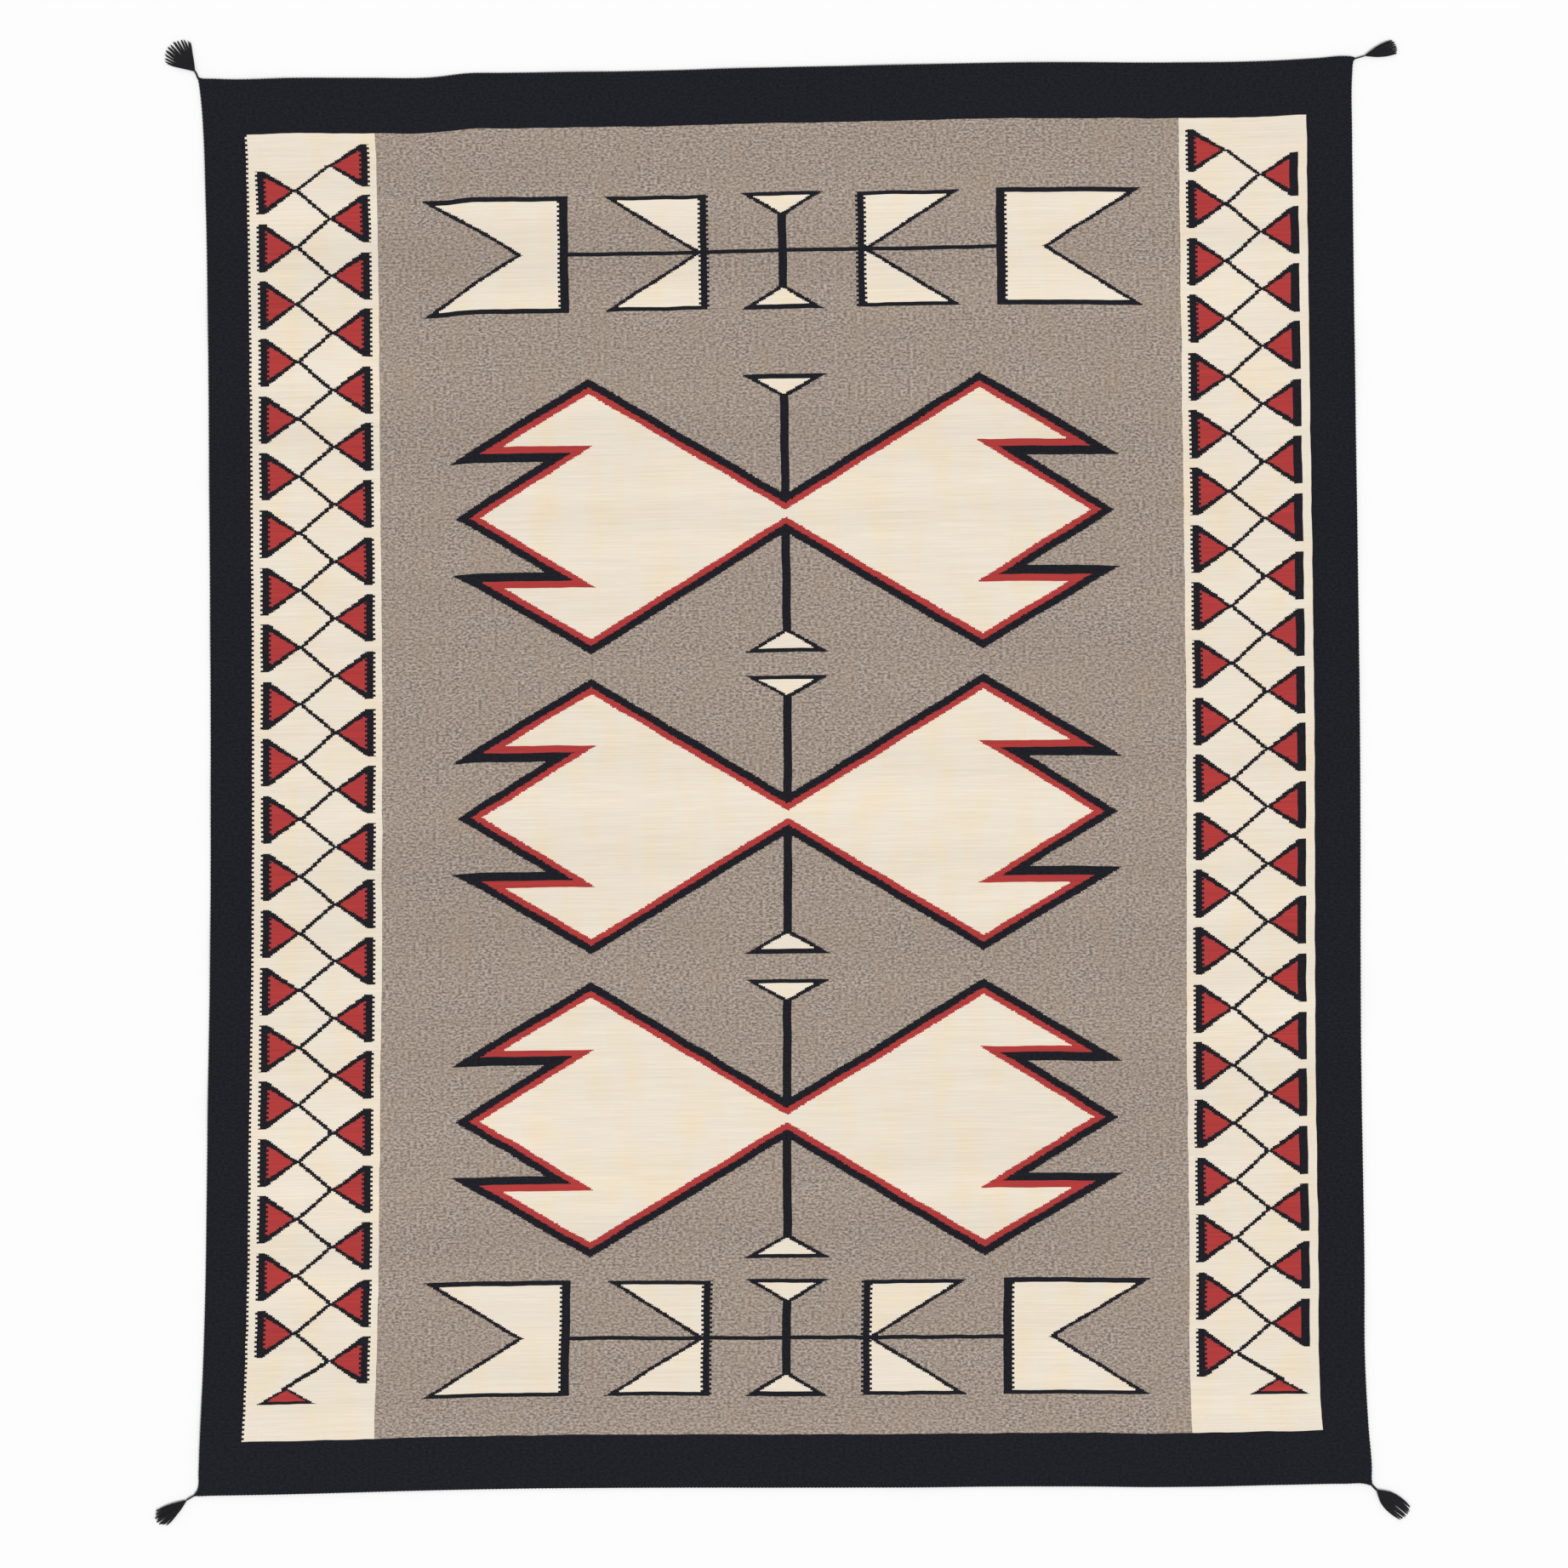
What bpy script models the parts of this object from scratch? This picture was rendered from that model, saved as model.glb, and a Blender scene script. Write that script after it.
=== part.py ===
"""A southwest style rug: one flat, weft-faced wool weave lying on the floor.

The weave has a thicker twined edge all round, its four corners are drawn out to
points, and each point carries the twisted end of the edge cords, which opens
into a flat tassel of cut wool strands. The x axis runs across the rug, the y
axis along its warps, and z = 0 is the floor.
"""
import math
import random
from collections import namedtuple

import bmesh
import bpy
from mathutils import Vector
from mathutils.geometry import intersect_line_line_2d

MM = 0.001

# The weave. Heights are above the floor, insets are measured in from the outline.
WEAVE_THICKNESS = 4.2 * MM
EDGE_PROFILE = (
    # inset, height
    (2.0 * MM, 0.0 * MM),
    (0.5 * MM, 0.9 * MM),
    (0.0 * MM, 2.4 * MM),
    (0.5 * MM, 3.9 * MM),
    (2.2 * MM, 4.9 * MM),
    (4.6 * MM, 4.9 * MM),
    (7.0 * MM, WEAVE_THICKNESS),
)
PROFILE_SHARE_OF_ROOM = 0.4
PROFILE_EASE = 40.0 * MM
PROFILE_REACH = 1000.0 * MM
OUTLINE_STEP = 90.0 * MM

# The four edges as they lie, in millimetres: where along the edge, and where the edge is.
LEFT_EDGE = (
    # y, x
    (-1412, -1235.6),
    (-1365, -1233.5),
    (-1221, -1227.3),
    (-1077, -1223.0),
    (-861, -1219.8),
    (-645, -1217.1),
    (-357, -1212.6),
    (-69, -1211.5),
    (218, -1211.9),
    (650, -1214.7),
    (938, -1216.9),
    (1226, -1221.8),
    (1370, -1226.3),
    (1442, -1231.4),
    (1474, -1235.0),
)
RIGHT_EDGE = (
    # y, x
    (-1446, 1245.2),
    (-1365, 1238.7),
    (-1221, 1230.9),
    (-1005, 1229.5),
    (-717, 1224.6),
    (-501, 1221.9),
    (-213, 1221.2),
    (74, 1220.3),
    (362, 1217.1),
    (650, 1212.8),
    (938, 1208.6),
    (1226, 1205.0),
    (1370, 1203.4),
    (1506, 1203.8),
)
TOP_EDGE = (
    # x, y
    (-1207, 1491.6),
    (-1171, 1490.4),
    (-1027, 1493.6),
    (-883, 1493.5),
    (-739, 1494.9),
    (-667, 1503.2),
    (-595, 1504.1),
    (-307, 1508.0),
    (-19, 1515.8),
    (196, 1520.1),
    (484, 1526.0),
    (628, 1526.8),
    (772, 1525.9),
    (1060, 1531.1),
    (1132, 1535.4),
    (1196, 1539.4),
)
BOTTOM_EDGE = (
    # x, y
    (-1216, -1506.4),
    (-1171, -1505.5),
    (-1027, -1502.6),
    (-739, -1494.7),
    (-595, -1491.8),
    (-451, -1490.0),
    (-307, -1489.3),
    (268, -1488.4),
    (484, -1486.6),
    (628, -1486.4),
    (772, -1487.9),
    (1060, -1483.2),
    (1188, -1480.9),
)

# Each corner is drawn out to a tip, from which the edge cords go on as a neck.
# Lengths in millimetres, directions in degrees from the x axis.
CORNERS = (
    # name, tip x, tip y, tip width, neck direction
    ("top_left", -1240.2, 1499.2, 5.0, 108.0),
    ("top_right", 1213.8, 1535.4, 4.4, 16.0),
    ("bottom_right", 1247.5, -1485.7, 6.0, -49.0),
    ("bottom_left", -1249.0, -1507.0, 4.6, 209.0),
)
ROOT_HANDLE = 0.5
TIP_HANDLE = 0.32
FLANK_STEPS = 6

# Each tassel fans out from the end of its neck. Lengths in millimetres, angles in
# degrees; the half angles are those of the fan at its root, a third and two
# thirds of the way out, and at its tips.
TASSELS = (
    # corner, neck length, neck width, direction, half angles, middle and side lengths
    ("top_left", 9.0, 4.6, 132.0, (34, 35, 35, 34), 77, 62),
    ("top_right", 16.0, 3.0, 16.5, (22, 22, 18, 12), 71, 68),
    ("bottom_right", 10.5, 5.4, -40.0, (34, 32, 22, 13), 84, 79),
    ("bottom_left", 15.5, 3.6, 215.0, (24, 22, 20, 17), 79, 64),
)
PIECE_GAP = 0.3 * MM
STRAND_COLUMNS = 10
STRAND_LAYERS = 4
STRAND_HEIGHT = 1.15 * MM
STRAND_WIDTH = 1.9 * MM
LAYER_PITCH = 1.4 * MM
LAYER_STAGGER = 0.2
LAYER_SETTLE = 0.04
ROOT_PITCH = 1.1 * MM
ROOT_INSET = 0.16 * MM
ROOT_HEIGHT = 2.9 * MM
STRAND_STATIONS = (0.1, 0.32, 0.64, 1.0)
CUT_UNEVENNESS = 0.09
CUT_END_SHARE = 0.7
NECK_TWIST_PITCH = 9.0 * MM
NECK_PLY_DEPTH = 0.14
NECK_TALLEST = 4.0 * MM
NECK_HEIGHT = 2.5 * MM
NECK_RINGS = 7
FLARE_RINGS = 2

Fan = namedtuple("Fan", "centre direction half_angles root_reach length")

SHARP_ANGLE = math.radians(50)
BLACK_WOOL = (0.011, 0.012, 0.016, 1.0)
GREY_WOOL = (0.33, 0.27, 0.23, 1.0)


def wool(name, colour):
    """Matt wool of one colour."""
    material = bpy.data.materials.new(name)
    material.use_nodes = True
    shader = material.node_tree.nodes["Principled BSDF"]
    shader.inputs["Base Color"].default_value = colour
    shader.inputs["Roughness"].default_value = 0.9
    shader.inputs["Metallic"].default_value = 0.0
    return material


def heading(degrees):
    """The unit vector in the floor's plane that points this way."""
    angle = math.radians(degrees)
    return Vector((math.cos(angle), math.sin(angle), 0.0))


def smooth_through(table, at):
    """The value at a place along a table's rows, on a smooth curve through them."""
    last = len(table) - 1
    row = 0
    while row < last - 1 and at > table[row + 1][0]:
        row += 1
    near, far = table[row], table[row + 1]
    before, after = table[max(row - 1, 0)], table[min(row + 2, last)]
    run = far[0] - near[0]
    t = (at - near[0]) / run
    slope_near = (far[1] - before[1]) / (far[0] - before[0]) * run
    slope_far = (after[1] - near[1]) / (after[0] - near[0]) * run
    return (
        (2 * t**3 - 3 * t**2 + 1) * near[1]
        + (t**3 - 2 * t**2 + t) * slope_near
        + (3 * t**2 - 2 * t**3) * far[1]
        + (t**3 - t**2) * slope_far
    )


def edge_points(table, along_x, forward):
    """Points along one edge, from its first row to its last, or back."""
    first, last = table[0][0], table[-1][0]
    steps = round((last - first) * MM / OUTLINE_STEP)
    points = []
    for step in range(steps + 1):
        at = first + (last - first) * step / steps
        value = smooth_through(table, at)
        place = (at, value, 0.0) if along_x else (value, at, 0.0)
        points.append(Vector(place) * MM)
    return points if forward else points[::-1]


def flank(root, root_direction, tip, tip_direction):
    """The points between an edge's end and a corner's tip, on one smooth curve."""
    reach = (tip - root).length
    near = root + root_direction * reach * ROOT_HANDLE
    far = tip - tip_direction * reach * TIP_HANDLE
    points = []
    for step in range(1, FLANK_STEPS + 1):
        t = step / FLANK_STEPS
        points.append(
            root * (1 - t) ** 3
            + near * 3 * t * (1 - t) ** 2
            + far * 3 * t**2 * (1 - t)
            + tip * t**3
        )
    return points


def corner_points(corner, arriving, leaving):
    """A drawn-out corner: along one flank to the tip, across it, and back."""
    _, tip_x, tip_y, tip_width, direction = corner
    tip = Vector((tip_x, tip_y, 0.0)) * MM
    out = heading(direction)
    across = Vector((-out.y, out.x, 0.0)) * tip_width * MM / 2
    come = (arriving[-1] - arriving[-2]).normalized()
    go = (leaving[0] - leaving[1]).normalized()
    # The outline runs clockwise, so it reaches the tip's left side first.
    first = flank(arriving[-1], come, tip + across, out)
    second = flank(leaving[0], go, tip - across, out)
    return first + second[::-1]


def rug_outline():
    """The outline of the weave, clockwise seen from above."""
    edges = [
        edge_points(LEFT_EDGE, along_x=False, forward=True),
        edge_points(TOP_EDGE, along_x=True, forward=True),
        edge_points(RIGHT_EDGE, along_x=False, forward=False),
        edge_points(BOTTOM_EDGE, along_x=True, forward=False),
    ]
    points = []
    for number, edge in enumerate(edges):
        following = edges[(number + 1) % len(edges)]
        points += edge
        points += corner_points(CORNERS[number], edge, following)
    return points


def inward_normals(points):
    """For a clockwise outline, the way in from each stretch after a point."""
    normals = []
    for number, point in enumerate(points):
        run = points[(number + 1) % len(points)] - point
        normals.append(Vector((run.y, -run.x, 0.0)).normalized())
    return normals


def room_inside(points, number, normal):
    """How far it is from an outline's point, along a normal, to the other side."""
    start = points[number].to_2d()
    far_off = start + normal.to_2d() * PROFILE_REACH
    nearest = PROFILE_REACH
    for other, point in enumerate(points):
        following = (other + 1) % len(points)
        if number in (other, following):
            continue
        ends = point.to_2d(), points[following].to_2d()
        hit = intersect_line_line_2d(start, far_off, *ends)
        if hit:
            nearest = min(nearest, (hit - start).length)
    return nearest


def finished(name, bm, material):
    """One object from a mesh whose faces are turned to point out."""
    bmesh.ops.recalc_face_normals(bm, faces=bm.faces)
    mesh = bpy.data.meshes.new(name)
    bm.to_mesh(mesh)
    bm.free()
    mesh.materials.append(material)
    mesh.shade_smooth()
    mesh.set_sharp_from_angle(angle=SHARP_ANGLE)
    piece = bpy.data.objects.new(name, mesh)
    bpy.context.scene.collection.objects.link(piece)
    return piece


def join_rings(bm, near, far):
    """A band of faces between two closed rings with as many points each."""
    for number in range(len(near)):
        following = (number + 1) % len(near)
        bm.faces.new((near[number], near[following], far[following], far[number]))


def make_rug(material):
    """The weave: its flat underside, its rounded twined edge and its flat top."""
    outline = rug_outline()
    normals = inward_normals(outline)
    widest = max(inset for inset, _ in EDGE_PROFILE)
    # The whole profile is squeezed where a drawn-out corner leaves it little room,
    # and it widens again over a stretch past there.
    squeezes = []
    for number, ahead in enumerate(normals):
        ways = (normals[number - 1], ahead)
        room = min(room_inside(outline, number, way) for way in ways)
        squeezes.append(min(1.0, room * PROFILE_SHARE_OF_ROOM / widest))
    ways_in = []
    for number, point in enumerate(outline):
        eased = min(
            squeeze + (point - other).length / PROFILE_EASE
            for other, squeeze in zip(outline, squeezes)
        )
        middle = (normals[number - 1] + normals[number]).normalized()
        ways_in.append(middle * min(1.0, eased))
    bm = bmesh.new()
    loops = []
    for inset, height in EDGE_PROFILE:
        loop = []
        for point, way in zip(outline, ways_in):
            place = point + way * inset
            loop.append(bm.verts.new((place.x, place.y, height)))
        loops.append(loop)
    for lower, upper in zip(loops, loops[1:]):
        join_rings(bm, lower, upper)
    bm.faces.new(loops[0])
    bm.faces.new(loops[-1])
    return finished("rug", bm, material)


def fan_place(fan, u, reach, share, height):
    """A point of the fan: from its left side, u = 1, to its right side, u = -1."""
    turn = u * half_angle(fan, share)
    return fan.centre + heading(fan.direction + turn) * reach + Vector((0, 0, height))


def half_angle(fan, share):
    """The fan's half angle in degrees, this share of the way along its strands."""
    last = len(fan.half_angles) - 1
    spaced = [(number / last, angle) for number, angle in enumerate(fan.half_angles)]
    return smooth_through(spaced, share)


def rim_places():
    """The levels and columns of the root's outer corners, once round it."""
    places = [(0, column) for column in range(STRAND_COLUMNS)]
    places += [(level, STRAND_COLUMNS) for level in range(STRAND_LAYERS)]
    places += [(STRAND_LAYERS, column) for column in range(STRAND_COLUMNS, 0, -1)]
    places += [(level, 0) for level in range(STRAND_LAYERS, 0, -1)]
    return places


def cord_ring(centre, along, radius, turn):
    """A ring round a two-ply cord, a little flat, with a point for each rim place."""
    right = Vector((along.y, -along.x, 0.0))
    flatter = min(1.0, NECK_TALLEST / 2 / radius)
    ring = []
    for level, column in rim_places():
        angle = math.atan2(2 * level / STRAND_LAYERS - 1, 2 * column / STRAND_COLUMNS - 1)
        lobe = 1 + NECK_PLY_DEPTH * math.cos(2 * (angle - turn))
        lift = math.sin(angle) * radius * lobe * flatter
        ring.append(centre + right * math.cos(angle) * radius * lobe + Vector((0, 0, lift)))
    return ring


def add_root(bm, fan):
    """The upright, curved wall that the strands grow from: its corners and its cells."""
    corners = {}
    for level in range(STRAND_LAYERS + 1):
        height = ROOT_HEIGHT + (level - STRAND_LAYERS / 2) * LAYER_PITCH
        for column in range(STRAND_COLUMNS + 1):
            u = 1 - 2 * column / STRAND_COLUMNS
            place = fan_place(fan, u, fan.root_reach, 0.0, height)
            corners[level, column] = bm.verts.new(place)
    cells = {}
    for level in range(STRAND_LAYERS):
        for column in range(STRAND_COLUMNS):
            low = corners[level, column], corners[level, column + 1]
            high = corners[level + 1, column + 1], corners[level + 1, column]
            cells[level, column] = bm.faces.new(low + high)
    bmesh.ops.inset_individual(bm, faces=list(cells.values()), thickness=ROOT_INSET)
    return corners, cells


def add_neck(bm, fan, start, bend, out, width, rim):
    """The twisted cord from the rug's tip, which widens into the rim of the root."""
    length = (bend - start).length + (fan.centre - bend).length
    rings = []
    for number in range(NECK_RINGS):
        share = number / (NECK_RINGS - 1)
        centre = start.lerp(bend, share).lerp(bend.lerp(fan.centre, share), share)
        centre.z = NECK_HEIGHT + (ROOT_HEIGHT - NECK_HEIGHT) * share
        along = out.lerp(heading(fan.direction), share).normalized()
        turn = math.tau * share * length / NECK_TWIST_PITCH
        ring = cord_ring(centre, along, width / 2, turn)
        rings.append([bm.verts.new(place) for place in ring])
    for number in range(FLARE_RINGS):
        share = (number + 1) / (FLARE_RINGS + 1)
        places = [near.lerp(far.co, share) for near, far in zip(ring, rim)]
        rings.append([bm.verts.new(place) for place in places])
    rings.append(rim)
    for near, far in zip(rings, rings[1:]):
        join_rings(bm, near, far)
    bm.faces.new(rings[0])


def add_strand(bm, fan, face, u, level, length):
    """One cut strand, drawn out of its cell of the root and along the floor."""
    across = heading(fan.direction + u * fan.half_angles[0] + 90)
    for station in STRAND_STATIONS:
        reach = fan.root_reach + (length - fan.root_reach) * station
        share = reach / fan.length
        bottom = level * LAYER_PITCH * (1 - LAYER_SETTLE * station)
        centre = fan_place(fan, u, reach, share, bottom + STRAND_HEIGHT / 2)
        room = 2 * math.radians(half_angle(fan, share)) * reach / STRAND_COLUMNS
        width = min(STRAND_WIDTH, room - 2 * ROOT_INSET)
        if station == STRAND_STATIONS[-1]:
            width *= CUT_END_SHARE
        face = bmesh.ops.extrude_discrete_faces(bm, faces=[face])["faces"][0]
        old_centre = face.calc_center_median()
        for vert in face.verts:
            away = vert.co - old_centre
            side = math.copysign(width / 2, away.dot(across))
            lift = math.copysign(STRAND_HEIGHT / 2, away.z)
            vert.co = centre + across * side + Vector((0, 0, lift))


def make_tassel(row, corner, material):
    """A twisted neck that opens into a flat fan of cut strands, all one solid."""
    name, neck_length, neck_width, direction, half_angles, middle, side_length = row
    _, tip_x, tip_y, _, neck_direction = corner
    rng = random.Random(name)
    out = heading(neck_direction)
    tip = Vector((tip_x, tip_y, 0.0)) * MM
    bend = tip + out * neck_length * MM / 2
    centre = bend + heading(direction) * neck_length * MM / 2
    root_reach = STRAND_COLUMNS * ROOT_PITCH / 2 / math.sin(math.radians(half_angles[0]))
    fan = Fan(centre, direction, half_angles, root_reach, middle * MM)

    bm = bmesh.new()
    corners, cells = add_root(bm, fan)
    rim = [corners[place] for place in rim_places()]
    add_neck(bm, fan, tip + out * PIECE_GAP, bend, out, neck_width * MM, rim)
    for (level, column), face in cells.items():
        # Each layer is shifted sideways, so that its strands cover the gaps below.
        stagger = LAYER_STAGGER * (level - (STRAND_LAYERS - 1) / 2)
        u = 1 - 2 * (column + 0.5 + stagger) / STRAND_COLUMNS
        length = middle - (middle - side_length) * u**2
        length *= MM * (1 - CUT_UNEVENNESS * rng.random())
        add_strand(bm, fan, face, u, level, length)
    return finished("tassel_" + name, bm, material)


def centre_on_origin(pieces):
    """Moves all the pieces alike, so that their common box is centred on the origin."""
    places = [vert.co for piece in pieces for vert in piece.data.vertices]
    middle_x = (min(p.x for p in places) + max(p.x for p in places)) / 2
    middle_y = (min(p.y for p in places) + max(p.y for p in places)) / 2
    for piece in pieces:
        for vert in piece.data.vertices:
            vert.co.x -= middle_x
            vert.co.y -= middle_y


for old in list(bpy.data.objects):
    bpy.data.objects.remove(old)

weave_material = wool("grey_wool_weave", GREY_WOOL)
tassel_material = wool("black_wool_yarn", BLACK_WOOL)
corner_rows = {corner[0]: corner for corner in CORNERS}
all_pieces = [make_rug(weave_material)]
for tassel_row in TASSELS:
    all_pieces.append(make_tassel(tassel_row, corner_rows[tassel_row[0]], tassel_material))
centre_on_origin(all_pieces)
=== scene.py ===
"""A southwest style rug seen from straight above: its looks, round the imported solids."""
import math
import random

import bpy
import numpy as np
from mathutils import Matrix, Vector


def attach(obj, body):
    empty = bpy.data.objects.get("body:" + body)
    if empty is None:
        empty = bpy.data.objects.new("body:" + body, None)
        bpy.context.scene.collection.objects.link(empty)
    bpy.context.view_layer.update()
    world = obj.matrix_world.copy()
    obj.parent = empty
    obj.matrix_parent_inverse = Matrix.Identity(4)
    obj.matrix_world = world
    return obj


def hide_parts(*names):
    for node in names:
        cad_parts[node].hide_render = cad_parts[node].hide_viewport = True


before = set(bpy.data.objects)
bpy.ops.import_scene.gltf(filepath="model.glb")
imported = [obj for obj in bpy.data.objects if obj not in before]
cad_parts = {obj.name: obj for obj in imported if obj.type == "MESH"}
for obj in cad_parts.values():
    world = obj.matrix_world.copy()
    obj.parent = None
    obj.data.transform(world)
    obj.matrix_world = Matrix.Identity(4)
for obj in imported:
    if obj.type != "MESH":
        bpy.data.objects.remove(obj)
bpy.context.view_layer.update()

# The studio. The rug lies on a plain, nearly white floor of matt board. A wide, soft
# lamp stands high up on the left, the whole room is pale, and the camera hangs over
# the rug and looks straight down, as in the photograph.
MM = 0.001
PHOTO_SPAN = 3317.4 * MM
PHOTO_CENTRE = Vector((3.1, -2.9, 0.0)) * MM
CAMERA_HEIGHT = 8.0
SENSOR = 36.0
FLOOR_SIZE = 16.0
FLOOR_DROP = 0.2 * MM
LAMP_TILT = math.radians(38.0)
LAMP_TURN = math.radians(40.0)
LAMP_WIDTH = math.radians(24.0)
LAMP_STRENGTH = 1.75
ROOM_STRENGTH = 0.56


def linear(code):
    """The linear colour of an sRGB hex code, with full alpha."""
    channels = [int(code[start : start + 2], 16) / 255 for start in (0, 2, 4)]
    return [c / 12.92 if c <= 0.04045 else ((c + 0.055) / 1.055) ** 2.4 for c in channels] + [1.0]


bpy.ops.object.select_all(action="DESELECT")
bpy.context.scene.view_settings.view_transform = "Standard"
bpy.ops.object.camera_add(location=PHOTO_CENTRE + Vector((0, 0, CAMERA_HEIGHT)))
camera = bpy.context.object
camera.data.sensor_width = SENSOR
camera.data.lens = SENSOR * CAMERA_HEIGHT / PHOTO_SPAN
bpy.context.scene.camera = camera

bpy.ops.object.light_add(type="SUN", location=(-3, 3, 4), rotation=(LAMP_TILT, 0, LAMP_TURN))
lamp = bpy.context.object
lamp.data.energy = LAMP_STRENGTH
lamp.data.angle = LAMP_WIDTH

room = bpy.data.worlds.new("pale_room")
room.use_nodes = True
room.node_tree.nodes["Background"].inputs["Color"].default_value = linear("ffffff")
room.node_tree.nodes["Background"].inputs["Strength"].default_value = ROOM_STRENGTH
bpy.context.scene.world = room

bpy.ops.mesh.primitive_plane_add(size=FLOOR_SIZE, location=(0, 0, -FLOOR_DROP))
floor = bpy.context.object
floor.name = "floor"
board = bpy.data.materials.new("matt_white_board")
board.use_nodes = True
board_shader = board.node_tree.nodes["Principled BSDF"]
board_shader.inputs["Base Color"].default_value = linear("fdfdfd")
board_shader.inputs["Roughness"].default_value = 0.9
board_shader.inputs["Specular IOR Level"].default_value = 0.0
floor.data.materials.append(board)

# The weave. It is one piece of weft-faced wool tapestry, woven 2.44 m wide and 3.0 m
# long on an upright loom: the wefts run across and hide the warps, so both faces show
# the same pattern. Off the loom its edges lie as unevenly as the tables say.
LOOM_WIDTH = 2.44
LOOM_LENGTH = 3.0
SOLIDS_SHIFT = Vector((1.8, -2.7, 0.0)) * MM
LEFT_EDGE = (
    # y, x in millimetres, from the bottom tip to the top tip
    (-1507.0, -1249.0),
    (-1502.5, -1246.0),
    (-1496.5, -1241.4),
    (-1489.5, -1238.9),
    (-1460, -1237.4),
    (-1412, -1235.6),
    (-1365, -1233.5),
    (-1221, -1227.3),
    (-1077, -1223.0),
    (-861, -1219.8),
    (-645, -1217.1),
    (-357, -1212.6),
    (-69, -1211.5),
    (218, -1211.9),
    (650, -1214.7),
    (938, -1216.9),
    (1226, -1221.8),
    (1370, -1226.3),
    (1442, -1231.4),
    (1474, -1235.0),
    (1490, -1237.6),
    (1499.2, -1240.2),
)
RIGHT_EDGE = (
    # y, x in millimetres, from the bottom tip to the top tip
    (-1485.7, 1247.5),
    (-1478, 1245.8),
    (-1446, 1245.2),
    (-1365, 1238.7),
    (-1221, 1230.9),
    (-1005, 1229.5),
    (-717, 1224.6),
    (-501, 1221.9),
    (-213, 1221.2),
    (74, 1220.3),
    (362, 1217.1),
    (650, 1212.8),
    (938, 1208.6),
    (1226, 1205.0),
    (1370, 1203.4),
    (1506, 1203.8),
    (1522, 1205.0),
    (1530, 1207.4),
    (1535.4, 1213.8),
)
TOP_EDGE = (
    # x, y in millimetres, from the left tip to the right tip
    (-1240.2, 1499.2),
    (-1238.0, 1495.6),
    (-1233.0, 1492.9),
    (-1222.0, 1491.8),
    (-1207, 1491.6),
    (-1171, 1490.4),
    (-1027, 1493.6),
    (-883, 1493.5),
    (-739, 1494.9),
    (-667, 1503.2),
    (-595, 1504.1),
    (-307, 1508.0),
    (-19, 1515.8),
    (196, 1520.1),
    (484, 1526.0),
    (628, 1526.8),
    (772, 1525.9),
    (1060, 1531.1),
    (1132, 1535.4),
    (1196, 1539.4),
    (1207, 1538.4),
    (1213.8, 1535.4),
)
BOTTOM_EDGE = (
    # x, y in millimetres, from the left tip to the right tip
    (-1249.0, -1507.0),
    (-1236.0, -1507.2),
    (-1216, -1506.4),
    (-1171, -1505.5),
    (-1027, -1502.6),
    (-739, -1494.7),
    (-595, -1491.8),
    (-451, -1490.0),
    (-307, -1489.3),
    (268, -1488.4),
    (484, -1486.6),
    (628, -1486.4),
    (772, -1487.9),
    (1060, -1483.2),
    (1188, -1480.9),
    (1232, -1481.2),
    (1247.5, -1485.7),
)
# The rolled edge: how far in, and how high the upper and lower faces are there.
EDGE_INSETS = np.array((1.2, 1.8, 3.0, 4.8, 7.5, 12.0, 20.0)) * MM
UPPER_RISE = np.array((2.3, 3.5, 4.1, 4.2, 4.2, 4.2, 4.2)) * MM
LOWER_RISE = np.array((2.3, 1.0, 0.2, 0.0, 0.0, 0.0, 0.0)) * MM
CELL = 17.0 * MM
# Long, low swells in millimetres: wavelength across, wavelength along, height, phase.
SWELLS = (
    (1900, 1400, 0.5, 0.3),
    (760, -980, 0.4, 1.9),
    (-430, 610, 0.3, 4.2),
    (290, 350, 0.16, 2.6),
)
EDGE_SWELL_LENGTH = 330.0 * MM
EDGE_SWELL_RISE = 1.1 * MM
EDGE_SWELL_WIDTH = 90.0 * MM


def edge_line(rows, at):
    """Where an edge lies at places along it, on a smooth curve through its rows."""
    along, value = np.array(rows).T
    slope = np.gradient(value, along)
    row = np.clip(np.searchsorted(along, at) - 1, 0, len(along) - 2)
    run = along[row + 1] - along[row]
    t = (at - along[row]) / run
    return (
        (2 * t**3 - 3 * t**2 + 1) * value[row]
        + (t**3 - 2 * t**2 + t) * slope[row] * run
        + (3 * t**2 - 2 * t**3) * value[row + 1]
        + (t**3 - t**2) * slope[row + 1] * run
    )


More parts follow.
